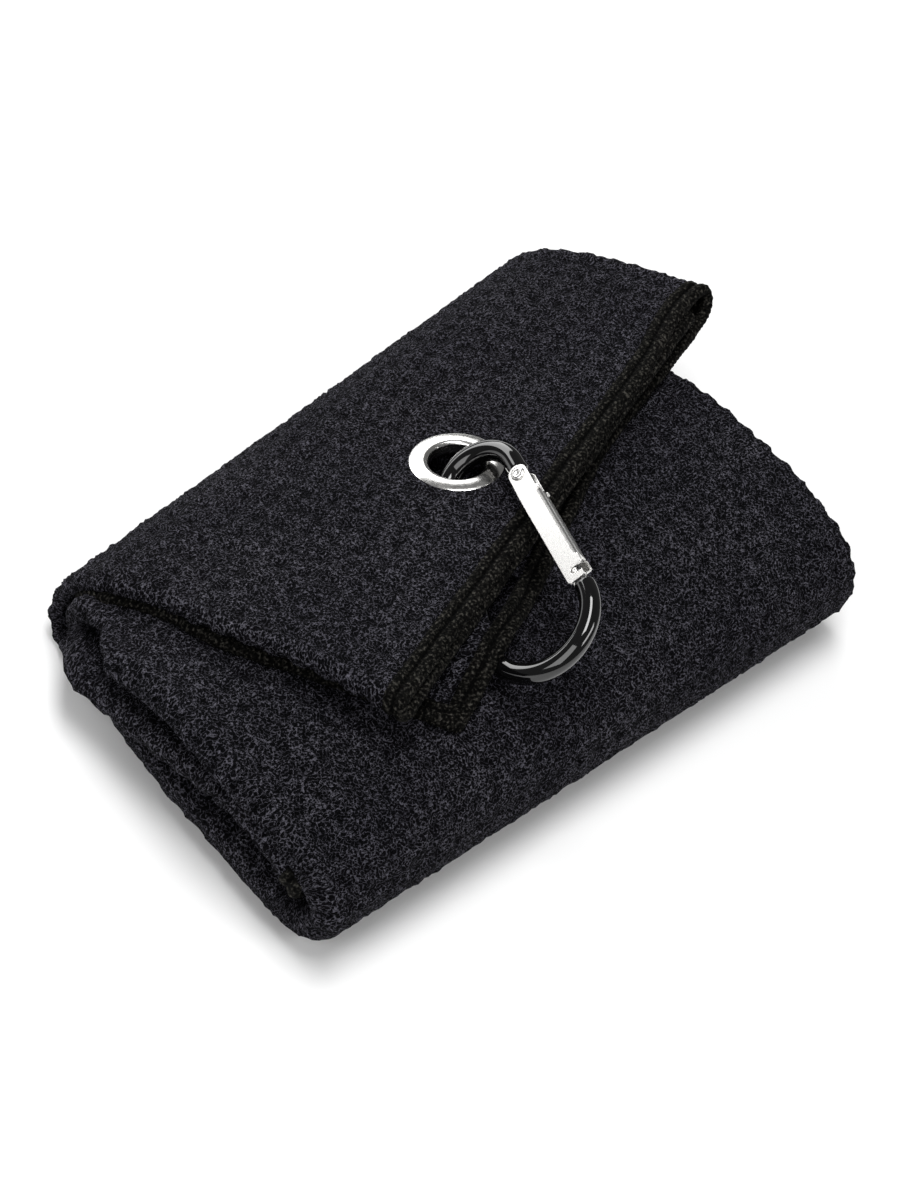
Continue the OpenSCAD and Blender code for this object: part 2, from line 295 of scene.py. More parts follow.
def drape(x, y):
    """Height of the middle of the lowest layer, which lies on the top panel and on the rod."""
    rest = crown(np.minimum(y, TOP_BACK_Y)) - 0.3 * np.maximum(y - TOP_BACK_Y, 0) + LIE
    off, top, _ = spine_distance(x, y)
    hump = (1 - smooth((off - ROD_R) / ROD_HUMP)) * np.maximum(top + ROD_LIE - rest, 0)
    over_edge = RIGHT_LIFT * smooth((x - HALF_W + 22) / 34)
    return rest + hump + over_edge


def flap_share(a, w):
    """0 at the hinge, 1 at the strip's end."""
    w_end = W_END_LEFT - across(a) * END_W * math.sin(END_SLANT)
    return np.clip((w - W_HINGE) / (w_end - W_HINGE), 0, 1.2)


def bell(a, middle, width):
    return np.exp(-((a - middle) / width) ** 2)


def depth_of(layer, a, w):
    """Depth of a layer's middle below the outer surface, in panels and in the flap."""
    flap = smooth((w - W_HINGE + 14) / 16)
    depth = DEPTH[layer] * (1 - flap) + FLAP_DEPTH[layer] * flap
    return depth + SIDE_PUFF[layer] * bell(a, -HALF_W, 6.0)


def settle_at_eyelet(p):
    """The outer layer lies flat between the eyelet's flange and its washer."""
    r, height = distance_to_axis(p, EYELET, EYELET_AXIS)
    pull = 1 - smooth((r - 11.5) / 9)
    near = np.abs(height) < EYELET_FLAT_H
    return p - (pull * near * (height + EYELET_SINK))[..., None] * EYELET_AXIS


def layer_points(layer, a, t):
    """Middle surface of a layer of the strip, in the row frame."""
    wobble = 0.5 * np.sin(t / 13.7 + 0.6) + 0.35 * np.sin(t / 5.9 + 2 + a / 60)
    a_in = a + wobble * smooth((np.abs(a) - 60) / 29) * np.sign(a)
    h, w = fold_place(a_in, t)
    share = flap_share(a_in, w)
    left = 1 - across(a_in)
    if layer == 1:
        w = w - OUTER_BACK * share * bell(a_in, 74, 16)
    if layer == 2:
        w = w + MIDDLE_OUT * share * left
    if layer == 3:
        sag = LOWER_SAG * np.sin(np.pi * share)
        h = h + left * (LOWER_IN * share - sag) - 2 * share * (1 - left)
        w = w + share * (LOWER_OUT_LEFT * left + LOWER_OUT_RIGHT * (1 - left)
                         - LOWER_BACK * bell(a_in, 20, 44))
    flap = on_fold(h, w, depth_of(layer, a_in, w) + left_opening(layer, a_in, t))
    if layer == 3:
        lie = smooth((w - W_HINGE + 8) / 26)
        flap[..., 2] += lie * (drape(flap[..., 0], flap[..., 1]) - flap[..., 2])
    if layer == 1:
        flap = settle_at_eyelet(flap)
        flap[..., 2] += 0.35 * np.sin(flap[..., 0] / 17 + 1) * np.sin(flap[..., 1] / 11) * (
            smooth((w - W_HINGE) / 20))
    roll = on_roll(a_in, t, depth_of(layer, a_in, 0 * t) + left_opening(layer, a_in, t))
    ease = smooth((t - JOIN[0]) / (JOIN[1] - JOIN[0]))[..., None]
    p = flap * (1 - ease) + roll * ease
    in_roll = smooth((t - T_FRONT - 10) / 30) * (1 - smooth((t - T_FRONT - 110) / 20))
    p[..., 2] += in_roll * 0.5 * np.sin(a_in / 23 + t / 31) * np.sin(a_in / 41 + 2)
    return p


# ---- the folded strip as one grid: a column runs along the strip, a row across the towel ----
def spaced(start, end, step):
    return np.linspace(start, end, max(2, int(round(abs(end - start) / step)) + 1))


def on_ground(t):
    """1 where the strip lies underneath, where its left fold is loose and thick."""
    return smooth((t - 110) / 26) * (1 - smooth((t - 190) / 34))


def on_top(t):
    """1 where the strip is the top panel."""
    return smooth((t - 200) / 30) * (1 - smooth((t - 300) / 16))


def inside(t):
    """1 where the strip is the inner panel."""
    return smooth((t - 312) / 16)


def left_bulge(t):
    """Roundness of the left fold."""
    return 1.7 + 6.6 * on_ground(t) + 0.9 * on_top(t) + 2.0 * inside(t)


def left_inset(t):
    """How far the left fold lies inside the strip's nominal side."""
    in_flap = 1 - smooth((t - 110) / 30)
    behind = smooth((t - 300) / 14) * (1 - smooth((t - 332) / 14))
    return (in_flap * (3.4 + 3.0 * smooth((t - 48) / 30)) + 0.7 * on_ground(t) + 0.6 * on_top(t)
            + 8.0 * behind)


def left_opening(layer, a, t):
    """Extra depth of a layer at its left margin, where the fold stands open."""
    margin = smooth((-a - 56) / 28)
    rim = smooth((-a - 70) / 16)
    under = 10.2 * on_ground(t) + 1.5 * on_top(t) + 3.6 * inside(t)
    droop = 3.0 * smooth((t - 214) / 16) * (1 - smooth((t - 240) / 44))
    below = -1.4 * inside(t)
    return (layer > 1) * margin * under + rim * (droop + below)


def free_side(t):
    """The lowest layer's free side: it shows under the flap and hides inside the bundle."""
    return -HALF_W + 1.5 + 4.0 * smooth((t - 45) / 28) + 8.0 * smooth((t - 84) / 22)


def row_values():
    """The grid's places along the strip, closer where the cloth shows."""
    parts = [spaced(0, 112, FINE), spaced(112, T_FRONT, PITCH / 4),
             spaced(T_FRONT, T_INNER, FINE), spaced(T_INNER, T_END, PITCH / 3)]
    return np.concatenate([parts[0]] + [p[1:] for p in parts[1:]])


def bend(first, second, outward, bulge, n):
    """Points of a rounded turn from first to second."""
    angles = np.linspace(0, np.pi, n + 2)[1:-1]
    middle, half = (first + second) / 2, (first - second) / 2
    return [middle + math.cos(x) * half + math.sin(x) * bulge[:, None] * outward for x in angles]


def strip_grid(t):
    """Positions, distance q across the cloth, distance to its free sides and a code for the
    layer (0 in a turn), by row and column."""
    round_left = left_bulge(t)
    round_right = 2.2 + 2.6 * (1 - smooth((t - 8) / 55))
    left = -HALF_W + round_left + left_inset(t)
    right = HALF_W - round_right
    left_length = 2.2 + 2.3 * round_left
    columns, q, rim, layer = [], [], [], []

    def add(layer_id, start, end, step, q_of, rim_of):
        n = len(spaced(start[len(t) // 2], end[len(t) // 2], step))
        for s in np.linspace(0, 1, n):
            a = start * (1 - s) + end * s
            columns.append(layer_points(layer_id, a, t))
            q.append(q_of(a))
            rim.append(rim_of(a))
            layer.append(layer_id)

    def turn(first_layer, second_layer, a_edge, bulge, sign, n, q_start, length):
        first = layer_points(first_layer, a_edge, t)
        second = layer_points(second_layer, a_edge, t)
        inner = layer_points(first_layer, a_edge - sign * 2, t)
        outward = unit(first - inner)
        for i, p in enumerate(bend(first, second, outward, bulge, n)):
            columns.append(p)
            q.append(q_start + length * (i + 1) / (n + 1))
            rim.append(0 * t + FAR)
            layer.append(0)

    far = lambda a: 0 * a + FAR
    add(2, FREE_2 + 0 * t, left, PITCH / 2, lambda a: 2 * left - left_length - a,
        lambda a: FREE_2 - a)
    turn(2, 1, left, round_left, -1, 20, left - left_length, left_length)
    add(1, left, right, FINE, lambda a: a, far)
    turn(1, 3, right, round_right, 1, 13, right, 8.0)
    add(3, right, free_side(t), PITCH / 4, lambda a: 2 * right + 8 - a,
        lambda a: a - free_side(t))
    stack = lambda v: np.stack(v, 1)
    return stack(columns), stack(q), stack(rim), np.array(layer)


def grid_normals(p):
    dq = np.gradient(p, axis=1)
    dt = np.gradient(p, axis=0)
    return unit(np.cross(dt, dq))


def waffle(q, t):
    """0 in a pit, 1 on a ridge."""
    ridge = lambda s: (0.5 + 0.5 * np.cos(2 * np.pi * s / PITCH)) ** 0.9
    return 1 - (1 - ridge(q)) * (1 - ridge(t)[:, None])


def distance_to_axis(p, point, axis):
    off = p - point
    height = off @ axis
    return np.linalg.norm(off - height[..., None] * axis, axis=-1), height


def swung(p, point, axis, angle):
    """The points p, turned about an axis by an angle in degrees."""
    arm = p - point
    c, s = math.cos(math.radians(angle)), math.sin(math.radians(angle))
    along = (arm @ axis)[..., None] * axis
    return point + along + c * (arm - along) + s * np.cross(axis, arm)


def kept_cells(p, layer):
    """The cells of the grid that are cloth: the eyelet's hole and the rod's way are left out."""
    middle = (p[:-1, :-1] + p[1:, :-1] + p[:-1, 1:] + p[1:, 1:]) / 4
    code = np.maximum(layer[:-1], layer[1:])[None, :] + 0 * middle[..., 0]
    r, height = distance_to_axis(middle, EYELET, EYELET_AXIS)
    keep = np.ones(code.shape, bool)
    for layer_id, radius in EYELET_HOLES.items():
        keep &= ~((code == layer_id) & (r < radius) & (np.abs(height) < 9))
    for angle in SWINGS:
        place = swung(middle, EYELET, EYELET_AXIS, -angle)
        off, top, share = spine_distance(place[..., 0], place[..., 1])
        low = place[..., 2] - CLOTH_T / 2
        in_the_way = (off < ROD_R + ROD_ROOM) & (low < top + 0.2) & (place[..., 2] > CROWN_Z + 1)
        keep &= ~(in_the_way & (code >= 2) & (share > -0.3) & (share < 0.97 - 0.012 * angle))
    return keep


def two_sided(p, normal, up, down, keep):
    """A closed cloth: both faces of the kept cells, and walls along every border."""
    rows, cols = p.shape[:2]
    index = np.arange(rows * cols).reshape(rows, cols)
    top = p + normal * up[..., None]
    bottom = p - normal * down[..., None]
    points = np.concatenate([top.reshape(-1, 3), bottom.reshape(-1, 3)])
    far = rows * cols
    a, b = index[:-1, :-1][keep], index[:-1, 1:][keep]
    d, c = index[1:, :-1][keep], index[1:, 1:][keep]
    faces = [np.stack([a, b, c, d], 1), np.stack([d, c, b, a], 1) + far]
    for one, two in ((a, b), (b, c), (c, d), (d, a)):
        key = np.minimum(one, two).astype(np.int64) * far + np.maximum(one, two)
        faces.append(np.stack([two, one, one + far, two + far, key], 1))
    walls = np.concatenate(faces[2:])
    _, first, counts = np.unique(walls[:, 4], return_index=True, return_counts=True)
    return points, np.concatenate([faces[0], faces[1], walls[first[counts == 1], :4]])


def mesh_object(name, points, faces, attributes=None):
    """A mesh from arrays in millimetres. Unused points are dropped."""
    used = np.unique(faces)
    renumber = np.zeros(len(points), np.int64)
    renumber[used] = np.arange(len(used))
    faces = renumber[faces]
    mesh = bpy.data.meshes.new(name)
    mesh.vertices.add(len(used))
    mesh.vertices.foreach_set("co", (points[used] * MM).astype(np.float32).ravel())
    mesh.loops.add(faces.size)
    mesh.loops.foreach_set("vertex_index", faces.ravel().astype(np.int32))
    mesh.polygons.add(len(faces))
    mesh.polygons.foreach_set("loop_start", np.arange(0, faces.size, faces.shape[1], dtype=np.int32))
    mesh.update(calc_edges=True)
    mesh.validate()
    for key, values in (attributes or {}).items():
        values = values[used]
        kind = "FLOAT_VECTOR" if values.ndim == 2 else "FLOAT"
        attribute = mesh.attributes.new(key, kind, "POINT")
        attribute.data.foreach_set("vector" if values.ndim == 2 else "value",
                                   values.astype(np.float32).ravel())
    mesh.polygons.foreach_set("use_smooth", np.ones(len(mesh.polygons), bool))
    made = bpy.data.objects.new(name, mesh)
    bpy.context.scene.collection.objects.link(made)
    return made


def edge_fade(t, rim):
    """0 on the borders that the hem covers, 1 past them."""
    ends = np.minimum(smooth((t - 3) / 3), smooth((T_END - t - 3) / 3))[:, None]
    return ends * smooth((rim - 3) / 3)


def build_cloth():
    """The towel as two pieces that meet in the back fold: its flap and its bundle."""
    t = row_values()
    p, q, rim, layer = strip_grid(t)
    normal = grid_normals(p)
    middle = (len(t) // 8, int(np.flatnonzero(layer == 1)[40]))
    if normal[middle][2] < 0:
        normal = -normal
    cell = waffle(q, t)
    fade = edge_fade(t, rim)
    r, height = distance_to_axis(p, EYELET, EYELET_AXIS)
    flat_here = np.where(np.abs(height) < EYELET_FLAT_H, 1 - smooth((r - 11.0) / 3), 0)
    half = CLOTH_T / 2 * (0.72 + 0.28 * fade)
    outer = np.isin(layer, (0, 1))[None, :] + 0.0 * cell
    in_flap = (t < 96)[:, None] & (layer == 3)[None, :]
    lumps = rng.normal(0, LOOP, cell.shape) * fade
    rise = RELIEF * (2 * cell - 1) * fade
    up = half + (outer + in_flap) * rise * (1 - flat_here) + outer * lumps * (1 - flat_here)
    turn_inside = (layer == 0)[None, :] + 0.0 * cell
    down = (half + in_flap * rise * 0.8) * (1 - 0.35 * turn_inside)
    keep = kept_cells(p, layer)
    split = int(np.searchsorted(t, T_SPLIT))
    weave = np.stack([q, t[:, None] + 0 * cell, half], -1)
    made = []
    for name, rows in (("towel_flap", slice(0, split + 1)), ("towel_bundle", slice(split, len(t)))):
        cells = slice(rows.start, rows.stop - 1)
        points, faces = two_sided(p[rows], normal[rows], up[rows], down[rows], keep[cells])
        points[:, 2] = np.maximum(points[:, 2], GROUND_Z)
        face = weave[rows].reshape(-1, 3)
        # The ridge attribute is the waffle's ridge height; the cloth's material paints shade into
        # the pits from it.
        ridge = (cell * fade)[rows].ravel()
        made.append(mesh_object(name, points, faces,
                                {"weave": np.concatenate([face, face * (1, 1, -1)]),
                                 "ridge": np.concatenate([ridge, ridge])}))
    return made[0], made[1], dict(p=p, normal=normal, split=split)


# ---- hems ----
def resampled(points, others, step):
    """Points spaced evenly along a line, with the vectors that go with them."""
    s = np.concatenate([[0], np.cumsum(np.linalg.norm(np.diff(points, axis=0), axis=1))])
    n = max(4, int(s[-1] / step))
    at = np.linspace(0, s[-1], n)
    read = lambda v: np.stack([np.interp(at, s, v[:, i]) for i in range(3)], 1)
    return at, read(points), [unit(read(v)) for v in others]


def hem_section():
    """(outward, normal) points round the bound edge: a bead, a groove and a flatter band."""
    top = [(-HEM_W, 0.7), (-4.8, 1.05), (-4.3, 1.3), (-3.7, 1.36), (-3.1, 1.25), (-2.75, 0.98),
           (-2.5, 0.78), (-2.25, 0.98), (-1.8, 1.3), (-1.1, 1.52), (-0.4, 1.5), (0.2, 1.2),
           (0.62, 0.65)]
    return np.array([(x, -y) for x, y in top] + [(0.8, 0)] + top[::-1])


def tube_faces(rows, cols):
    """Faces between rings of points, and round each ring."""
    index = np.arange(rows * cols).reshape(rows, cols)
    nxt = np.roll(index, -1, axis=1)
    return np.stack([index[:-1], nxt[:-1], nxt[1:], index[1:]], -1).reshape(-1, 4)


def hem_piece(name, points, outward, normal, step=0.33):
    """A bound edge along a border line, with its overlock stitches raised."""
    at, p, (out, n) = resampled(points, [outward, normal], step)
    section = hem_section()
    centre = np.array([-2.2, 0])
    away = unit(section - centre)
    slant = section[:, 0] * STITCH_SLANT * np.sign(section[:, 1])
    stitch = np.abs(np.sin(np.pi * (at[:, None] + slant[None, :]) / STITCH))
    tail = smooth((section[:, 0] + 5.3) / 0.8)
    rough = rng.normal(0, 0.07, (len(at), len(section)))
    raised = (0.42 * (stitch ** 0.6 - 0.6) + rough) * tail[None, :]
    lump = 0.12 * np.sin(at[:, None] / 3.1 + 1.3) * np.sin(at[:, None] / 7.7)
    o = section[None, :, 0] + (raised + lump) * away[None, :, 0]
    u = section[None, :, 1] + (raised + lump) * away[None, :, 1]
    grid = p[:, None] + o[..., None] * out[:, None] + u[..., None] * n[:, None]
    points = grid.reshape(-1, 3)
    points[:, 2] = np.maximum(points[:, 2], GROUND_Z)
    weave = np.stack([at[:, None] + 0 * o, o, u], -1).reshape(-1, 3)
    return capped_object(name, points, tube_faces(*grid.shape[:2]), {"weave": weave})


def capped_object(name, points, faces, attributes):
    """A tube's mesh with both its open ends filled."""
    made = mesh_object(name, points, faces, attributes)
    mesh = made.data
    work = bmesh.new()
    work.from_mesh(mesh)
    border = [e for e in work.edges if e.is_boundary]
    bmesh.ops.holes_fill(work, edges=border, sides=0)
    bmesh.ops.recalc_face_normals(work, faces=work.faces)
    work.to_mesh(mesh)
    work.free()
    return made


FIRST, LAST = (0, 2), (-1, -3)         # a border of the grid, and a line just inside it


def end_line(g, border):
    """A short end of the towel with its outward direction and normal."""
    edge, inner = border
    line = g["p"][edge]
    return line, unit(line - g["p"][inner]), g["normal"][edge]


def side_line(g, rows, border):
    """A stretch of a long side of the towel with its outward direction and normal."""
    edge, inner = border
    line = g["p"][rows, edge]
    return line, unit(line - g["p"][rows, inner]), g["normal"][rows, edge]


def build_hems(g):
    """The hems on both ends and both long sides, split where the flap's piece ends."""
    split = g["split"]
    flap_rows, roll_rows = slice(0, split + 1), slice(split, None)
    end = hem_piece("end_hem", *end_line(g, FIRST))
    inner_end = hem_piece("inner_end_binding", *end_line(g, LAST), step=0.7)
    side_flap = hem_piece("side_hem_flap", *side_line(g, flap_rows, LAST))
    side_roll = hem_piece("side_hem_bundle", *side_line(g, roll_rows, LAST), step=0.5)
    mid_flap = hem_piece("hidden_side_hem_flap", *side_line(g, flap_rows, FIRST), step=0.8)
    mid_roll = hem_piece("hidden_side_hem_bundle", *side_line(g, roll_rows, FIRST), step=0.8)
    return end, inner_end, side_flap, side_roll, mid_flap, mid_roll


# ---- metal parts ----
def placer(origin, x_axis, z_axis):
    """A function that puts points in the frame with this origin and these axes."""
    z = unit(np.array(z_axis, float))
    x = np.array(x_axis, float)
    x = unit(x - (x @ z) * z)
    y = np.cross(z, x)
    m = Matrix(((x[0], y[0], z[0]), (x[1], y[1], z[1]), (x[2], y[2], z[2])))
    return lambda p: np.array(p) @ np.array(m).T + np.array(origin)


TEETH_FROM_R = 10


def lathe(name, profile, place, sides, teeth=None):
    """A closed (r, z) outline turned about z. teeth(angles) is added to the outer radii."""
    profile = np.array(profile, float)
    angles = np.linspace(0, 2 * np.pi, sides, endpoint=False)
    height = teeth(angles) if teeth else 0 * angles
    r = profile[None, :, 0] + height[:, None] * (profile[None, :, 0] > TEETH_FROM_R)
    grid = np.stack([r * np.cos(angles)[:, None], r * np.sin(angles)[:, None],
                     profile[None, :, 1] + 0 * r], -1)
    rows, cols = grid.shape[:2]
    index = np.arange(rows * cols).reshape(rows, cols)
    right, below = np.roll(index, -1, axis=1), np.roll(index, -1, axis=0)
    faces = np.stack([index, below, np.roll(right, -1, axis=0), right], -1).reshape(-1, 4)
    return mesh_object(name, place(grid.reshape(-1, 3)), faces)


def rounded_line(points, steps=4):
    """A closed Catmull-Rom line through the outline's points."""
    p = np.array(points, float)
    out = []
    for i in range(len(p)):
        a, b, c, d = p[i - 1], p[i], p[(i + 1) % len(p)], p[(i + 2) % len(p)]
        for s in np.linspace(0, 1, steps, endpoint=False):
            out.append(0.5 * (2 * b + (c - a) * s + (2 * a - 5 * b + 4 * c - d) * s * s
                              + (3 * b - a - 3 * c + d) * s ** 3))
    return np.array(out)


def build_eyelet():
    """The rolled eyelet, and its toothed washer under the outer layer."""
    place = placer(EYELET, (1, 0, 0), EYELET_AXIS)
    outer = [(EYELET_R, -1.5), (EYELET_R, 0.5), (EYELET_R + 0.12, 0.95), (EYELET_R + 0.5, 1.25),
             (EYELET_R + 1.2, 1.36), (FLANGE_R - 1.8, 1.3), (FLANGE_R - 0.8, 1.12),
             (FLANGE_R - 0.2, 0.9), (FLANGE_R, 0.68), (FLANGE_R - 0.15, 0.45),
             (FLANGE_R - 0.6, 0.42), (EYELET_R + 1.2, 0.45), (EYELET_R + BARREL_T, 0.2),
             (EYELET_R + BARREL_T, -1.5)]
    ring = lathe("eyelet_ring", rounded_line(outer), place, 144)
    teeth = lambda x: 0.14 * np.sign(np.sin(26 * x)) * np.abs(np.sin(26 * x)) ** 0.4
    low = [(EYELET_R + 0.5, -1.6), (FLANGE_R - 0.5, -1.65), (FLANGE_R - 0.35, -1.35),
           (FLANGE_R - 0.6, -1.12), (EYELET_R + 0.5, -1.12)]
    washer = lathe("eyelet_toothed_washer", rounded_line(low), place, 312, teeth)
    return ring, washer


GATE_LEN = BOW_GAP * math.cos(SIDE_LEAN)
LATCH_S = GATE_LEN - 3
STEP_S = PIVOT_S + 7                   # where the gate's ears end and its folded back starts


def gate_point(s, y, z):
    """The gate's frame: s along the gate from the small bow, y outwards, z across."""
    along = math.cos(SIDE_LEAN) * E1 + math.sin(SIDE_LEAN) * E2
    out = -math.sin(SIDE_LEAN) * E1 + math.cos(SIDE_LEAN) * E2
    s, y, z = (np.asarray(v, float)[..., None] for v in (s, y, z))
    return np.array(CLIP_AT) + SMALL_R * out + s * along + y * out + z * E3


def clip_path():
    """(x, y) in the clip's plane and the way along: pivot tongue, small bow, straight side,
    large bow, latch tongue."""
    lean = math.degrees(SIDE_LEAN)
    small = arc(0, 0, SMALL_R, 90 + lean, 270 - lean, 70)
    large = arc(BOW_GAP, 0, LARGE_R, -90 - lean, 90 + lean, 110)
    small, large = np.array(small), np.array(large)
    along = unit(large[-1] - small[0])
    first = [small[0] + along * s for s in (PIVOT_S + 1.5, PIVOT_S + 1.3, 3.9, 3.4, 3.0, 2.6, 2.2,
                                            1.8, 1.2, 0.6)]
    spine = [small[-1] * (1 - s) + large[0] * s for s in np.linspace(0, 1, 30)[1:-1]]
    last = [large[-1] - along * s for s in (0.3, 0.6, 0.9, 1.6, 2.6, 4.3, 4.5)]
    return np.array(first + list(small) + spine + list(large) + last)


def build_rod():
    """The bent rod, with a flat tongue at each end inside the gate."""
    path = clip_path()
    tangent = unit(np.gradient(path, axis=0))
    side = np.stack([-tangent[:, 1], tangent[:, 0]], 1)
    s = np.concatenate([[0], np.cumsum(np.linalg.norm(np.diff(path, axis=0), axis=1))])
    tongue_1 = 1 - smooth((s - 2.9) / 1.2)
    tongue_2 = 1 - smooth((s[-1] - s - 3.7) / 1.1)
    flat = np.maximum(tongue_1, tongue_2)
    tip = np.minimum(1, 0.75 + 0.25 * np.minimum(s, s[-1] - s) / 0.2)
    angles = np.linspace(0, 2 * np.pi, 40, endpoint=False)
    power = (1 - 0.62 * flat)[:, None]
    shape = lambda x: np.sign(x) * np.abs(x) ** power
    wide = (ROD_R * (1 - flat) + TONGUE_H / 2 * flat) * tip
    thick = (ROD_R * (1 - flat) + TONGUE_W / 2 * flat) * tip
    u = wide[:, None] * shape(np.cos(angles)[None, :])
    v = thick[:, None] * shape(np.sin(angles)[None, :])
    plane = path[:, None] + u[..., None] * side[:, None]
    grid = (np.array(CLIP_AT) + plane[..., :1] * E1 + plane[..., 1:] * E2 + v[..., None] * E3)
    return tube_object("clip_rod", grid)


def tube_object(name, grid):
    """A closed tube from rings of points, with both ends filled."""
    points = grid.reshape(-1, 3)
    return capped_object(name, points, tube_faces(*grid.shape[:2]), {"weave": points})


def plate(name, outline, z0, z1):
    """An (s, y) outline in the gate's frame, as a plate between two z."""
    work = bmesh.new()
    corners = [work.verts.new(gate_point(s, y, z0) * MM) for s, y in outline]
    face = work.faces.new(corners)
    out = bmesh.ops.extrude_face_region(work, geom=[face])
    shift = Vector((gate_point(0, 0, z1) - gate_point(0, 0, z0)) * MM)
    for v in out["geom"]:
        if isinstance(v, bmesh.types.BMVert):
            v.co += shift
    bmesh.ops.recalc_face_normals(work, faces=work.faces)
    mesh = bpy.data.meshes.new(name)
    work.to_mesh(mesh)
    work.free()
    made = bpy.data.objects.new(name, mesh)
    bpy.context.scene.collection.objects.link(made)
    soften(made, 0.14)
    return made


def soften(made, width):
    """Rounds a plate's sharp edges."""
    modifier = made.modifiers.new("edges", "BEVEL")
    modifier.width = width * MM
    modifier.segments = 3
    modifier.limit_method = "ANGLE"
    modifier.angle_limit = math.radians(35)
    modifier.harden_normals = False
    made.data.polygons.foreach_set("use_smooth", np.ones(len(made.data.polygons), bool))
    weighted = made.modifiers.new("shading", "WEIGHTED_NORMAL")
    weighted.keep_sharp = False


def wall_outline():
    """Side wall of the gate: ears at the pivot, a step with a lug, and the latch's slot."""
    end = GATE_LEN - 0.5
    top, low = GATE_H / 2, -GATE_H / 2
    ear = arc(PIVOT_S, 0, 2.45, 100, 262, 14)
    slot_left, slot_right = LATCH_S - 0.9, LATCH_S + 0.9
    slot = [(slot_left, top - 0.5), (slot_left, 0.2)] + arc(LATCH_S, 0, 0.86, 180, 360, 9)[1:-1]
    slot += [(slot_right, 0.2), (slot_right, top - 0.9)]
    upper = [(STEP_S - 1.5, 2.3), (STEP_S - 1.1, 2.95), (STEP_S - 0.2, 2.95), (STEP_S, 1.9),
             (LATCH_S - 4.0, 1.9), (LATCH_S - 3.6, top), (LATCH_S - 1.2, top)]
    close = [(end - 0.2, top - 0.9), (end, top - 1.2), (end, low + 0.5), (end - 0.5, low)]
    return ear + [(STEP_S, low)] + close[::-1] + slot[::-1] + upper[::-1]


def web_section():
    """(y, z) of the gate's folded back, outside then inside."""
    top, half, radius, n = GATE_H / 2, GATE_W / 2, 1.25, 8
    outside = [(1.2, -half)] + arc(top - radius, -half + radius, radius, -90, 0, n)
    outside += arc(top - radius, half - radius, radius, 0, 90, n) + [(1.2, half)]
    inner = radius - GATE_T
    inside = [(1.2, half - GATE_T)] + arc(top - radius, half - radius, inner, 90, 0, n)
    inside += arc(top - radius, -half + radius, inner, 0, -90, n) + [(1.2, -half + GATE_T)]
    return np.array(outside + inside)


def build_gate():
    """The gate's two side walls and its folded back."""
    half = GATE_W / 2
    parts = [plate("gate_wall_near", wall_outline(), half - GATE_T, half),
             plate("gate_wall_far", wall_outline(), -half, -half + GATE_T)]
    section = web_section()
    end = LATCH_S - 3.8
    s = np.concatenate([[STEP_S - 0.3, STEP_S - 0.2], np.linspace(STEP_S, end - 0.4, 24),
                        [end - 0.1, end]])
    shrink = np.ones(len(s))
    shrink[[0, -1]] = 0.97
    y = 0.8 + (section[None, :, 0] - 0.8) * shrink[:, None]
    z = section[None, :, 1] * 0.997 + 0 * y
    parts.append(tube_object("gate_back", gate_point(s[:, None] + 0 * y, y, z)))
    return parts


def gate_lathe(name, s, profile):
    along = math.cos(SIDE_LEAN) * E1 + math.sin(SIDE_LEAN) * E2
    return lathe(name, profile, placer(gate_point(s, 0, 0), along, E3), 48)


def build_pins():
    """The pivot's rivet and the pin that the gate's slots catch."""
    half = GATE_W / 2
    head = [(0.02, half + 0.22), (0.38, half + 0.22), (0.5, half + 0.5), (1.1, half + 0.52),
            (1.6, half + 0.34), (1.72, half + 0.02), (1.0, half), (1.0, -half),
            (1.72, -half - 0.02), (1.6, -half - 0.34), (1.1, -half - 0.5), (0.02, -half - 0.52)]
    rivet = gate_lathe("gate_rivet", PIVOT_S, head)
    bar = [(0.02, half - 0.02), (0.5, half - 0.02), (0.7, half - 0.2),
           (0.7, -half + 0.2), (0.5, -half + 0.02), (0.02, -half + 0.02)]
    return rivet, gate_lathe("nose_pin", LATCH_S, bar)


def build_spring():
    """The bent wire inside the gate."""
    line = np.array([(PIVOT_S + 2.2, 0.6), (PIVOT_S + 5.5, 0.0), (PIVOT_S + 9, -0.6),
                     (PIVOT_S + 10, -0.5), (PIVOT_S + 14, 0.5), (PIVOT_S + 18, 1.4)])
    wire_r = 0.42
    s = np.linspace(0, 5, 60)
    path = np.stack([np.interp(s, range(6), line[:, i]) for i in (0, 1)], 1)
    side = unit(np.gradient(path, axis=0))[:, ::-1] * [-1, 1]
    angles = np.linspace(0, 2 * np.pi, 14, endpoint=False)
    ring = path[:, None] + wire_r * np.cos(angles)[None, :, None] * side[:, None]
    z = wire_r * np.sin(angles)[None, :] + 0 * ring[..., 0]
    return tube_object("spring_wire", gate_point(ring[..., 0], ring[..., 1], z))


